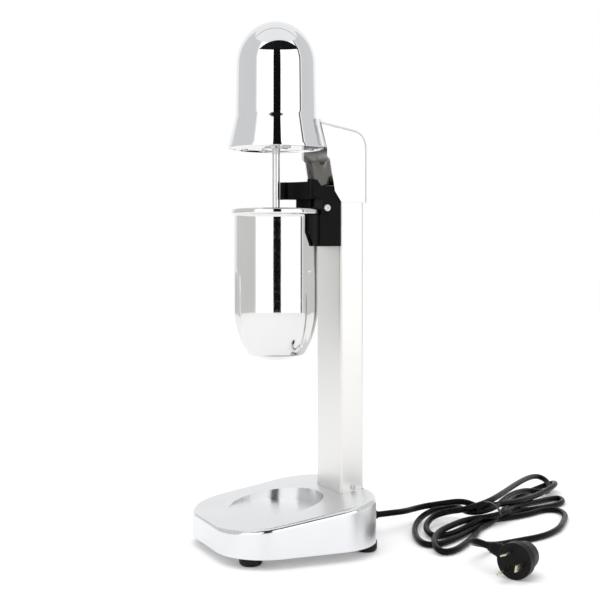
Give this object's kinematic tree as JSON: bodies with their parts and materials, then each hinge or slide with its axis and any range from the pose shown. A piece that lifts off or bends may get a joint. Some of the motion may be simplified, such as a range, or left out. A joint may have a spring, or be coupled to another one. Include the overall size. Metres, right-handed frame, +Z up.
{
  "type": "milkshake mixer",
  "caption": "Counter milkshake mixer with a bell-shaped motor head, hanging steel cup, switch bracket, rectangular column, wedge base and mains cord tied in a hank.",
  "frame": {"origin": "on the floor, under the middle of the base's length and width", "axes": "+Z up, -Y towards the user and the cup, +Y towards the column and the cord, X across; the object without its cord is symmetric about X = 0"},
  "size_m": [0.3119, 0.481, 0.5242],
  "materials": {
    "cast_aluminium": "polished casting",
    "steel_sheet": "satin",
    "arm_steel": "fine satin",
    "bell_chrome": "mirror",
    "cup_steel": "mirror polished stainless",
    "bright_steel": "turned",
    "black_plastic": "satin black",
    "foot_rubber": "matt",
    "zinc_screw": "zinc plated",
    "laminated_iron": "laminated",
    "copper_wire": "enamelled",
    "carbon": "pressed",
    "brass": "bright",
    "ceramic": "glazed",
    "cable_jacket": "smooth pvc",
    "tie_wire": "plastic strip",
    "fan_plastic": "moulded"
  },
  "bodies": {
    "frame": {"base_casting": "cast_aluminium", "base_plate": "steel_sheet", "foot_front_left": "foot_rubber", "foot_front_right": "foot_rubber", "foot_rear_left": "foot_rubber", "foot_rear_right": "foot_rubber", "foot_screws": "zinc_screw", "column_tube": "steel_sheet", "column_anchor_block": "cast_aluminium", "column_top_block": "cast_aluminium", "column_side_screws": "zinc_screw", "column_base_bolts": "zinc_screw", "arm_housing": "arm_steel", "arm_underside": "steel_sheet", "arm_screws": "zinc_screw", "head_bell": "bell_chrome", "head_saddle": "steel_sheet", "head_saddle_screws": "zinc_screw", "head_bottom_plate": "steel_sheet", "head_rim_ring": "steel_sheet", "head_plate_screws": "zinc_screw", "bearing_cap": "black_plastic", "motor_stator": "laminated_iron", "field_windings": "copper_wire", "motor_end_frame": "cast_aluminium", "motor_spacers": "bright_steel", "motor_bolts": "zinc_screw", "brush_holders": "brass", "carbon_brushes": "carbon", "lower_bearing": "bright_steel", "upper_bearing": "bright_steel", "cup_bracket": "black_plastic", "cup_cradle": "black_plastic", "bracket_screws": "zinc_screw", "lever_pivot_screws": "zinc_screw", "microswitch_body": "black_plastic", "terminal_block": "ceramic", "terminal_screws": "zinc_screw", "inner_cable": "cable_jacket", "motor_leads": "cable_jacket", "cord_gland": "black_plastic", "cord_lead": "cable_jacket", "cord_hank": "cable_jacket", "cord_tail": "cable_jacket", "cord_tie": "tie_wire", "plug_body": "black_plastic", "plug_relief": "black_plastic", "plug_pins": "brass"},
    "rotor": {"motor_shaft": "bright_steel", "rotor_core": "laminated_iron", "armature_windings": "copper_wire", "commutator": "copper_wire", "cooling_fan": "fan_plastic", "spindle": "bright_steel", "agitator": "bright_steel", "agitator_nut": "bright_steel"},
    "cup": {"cup": "cup_steel"},
    "lever": {"switch_lever": "black_plastic"},
    "plunger": {"microswitch_plunger": "black_plastic"}
  },
  "joints": [
    {"name": "spindle_spin", "type": "hinge", "parent": "frame", "child": "rotor", "pos_m": [0, -0.007, 0.3], "axis": [0, 0, 1], "continuous": true},
    {"name": "cup_lift", "type": "slide", "parent": "frame", "child": "cup", "axis": [0, 0, 1], "range_m": [0, 0.008]},
    {"name": "lever_tilt", "type": "hinge", "parent": "frame", "child": "lever", "pos_m": [0, 0.0345, 0.338], "axis": [-1, 0, 0], "range_deg": [0, 8], "stiffness_Nm_per_rad": 0.25, "springref_deg": -8.59},
    {"name": "plunger_press", "type": "slide", "parent": "frame", "child": "plunger", "axis": [0, 1, 0], "range_m": [0, 0.0021]}
  ],
  "couplings": [
    {"joint": "plunger_press", "follows": "lever_tilt", "m_per_rad": 0.014}
  ]
}
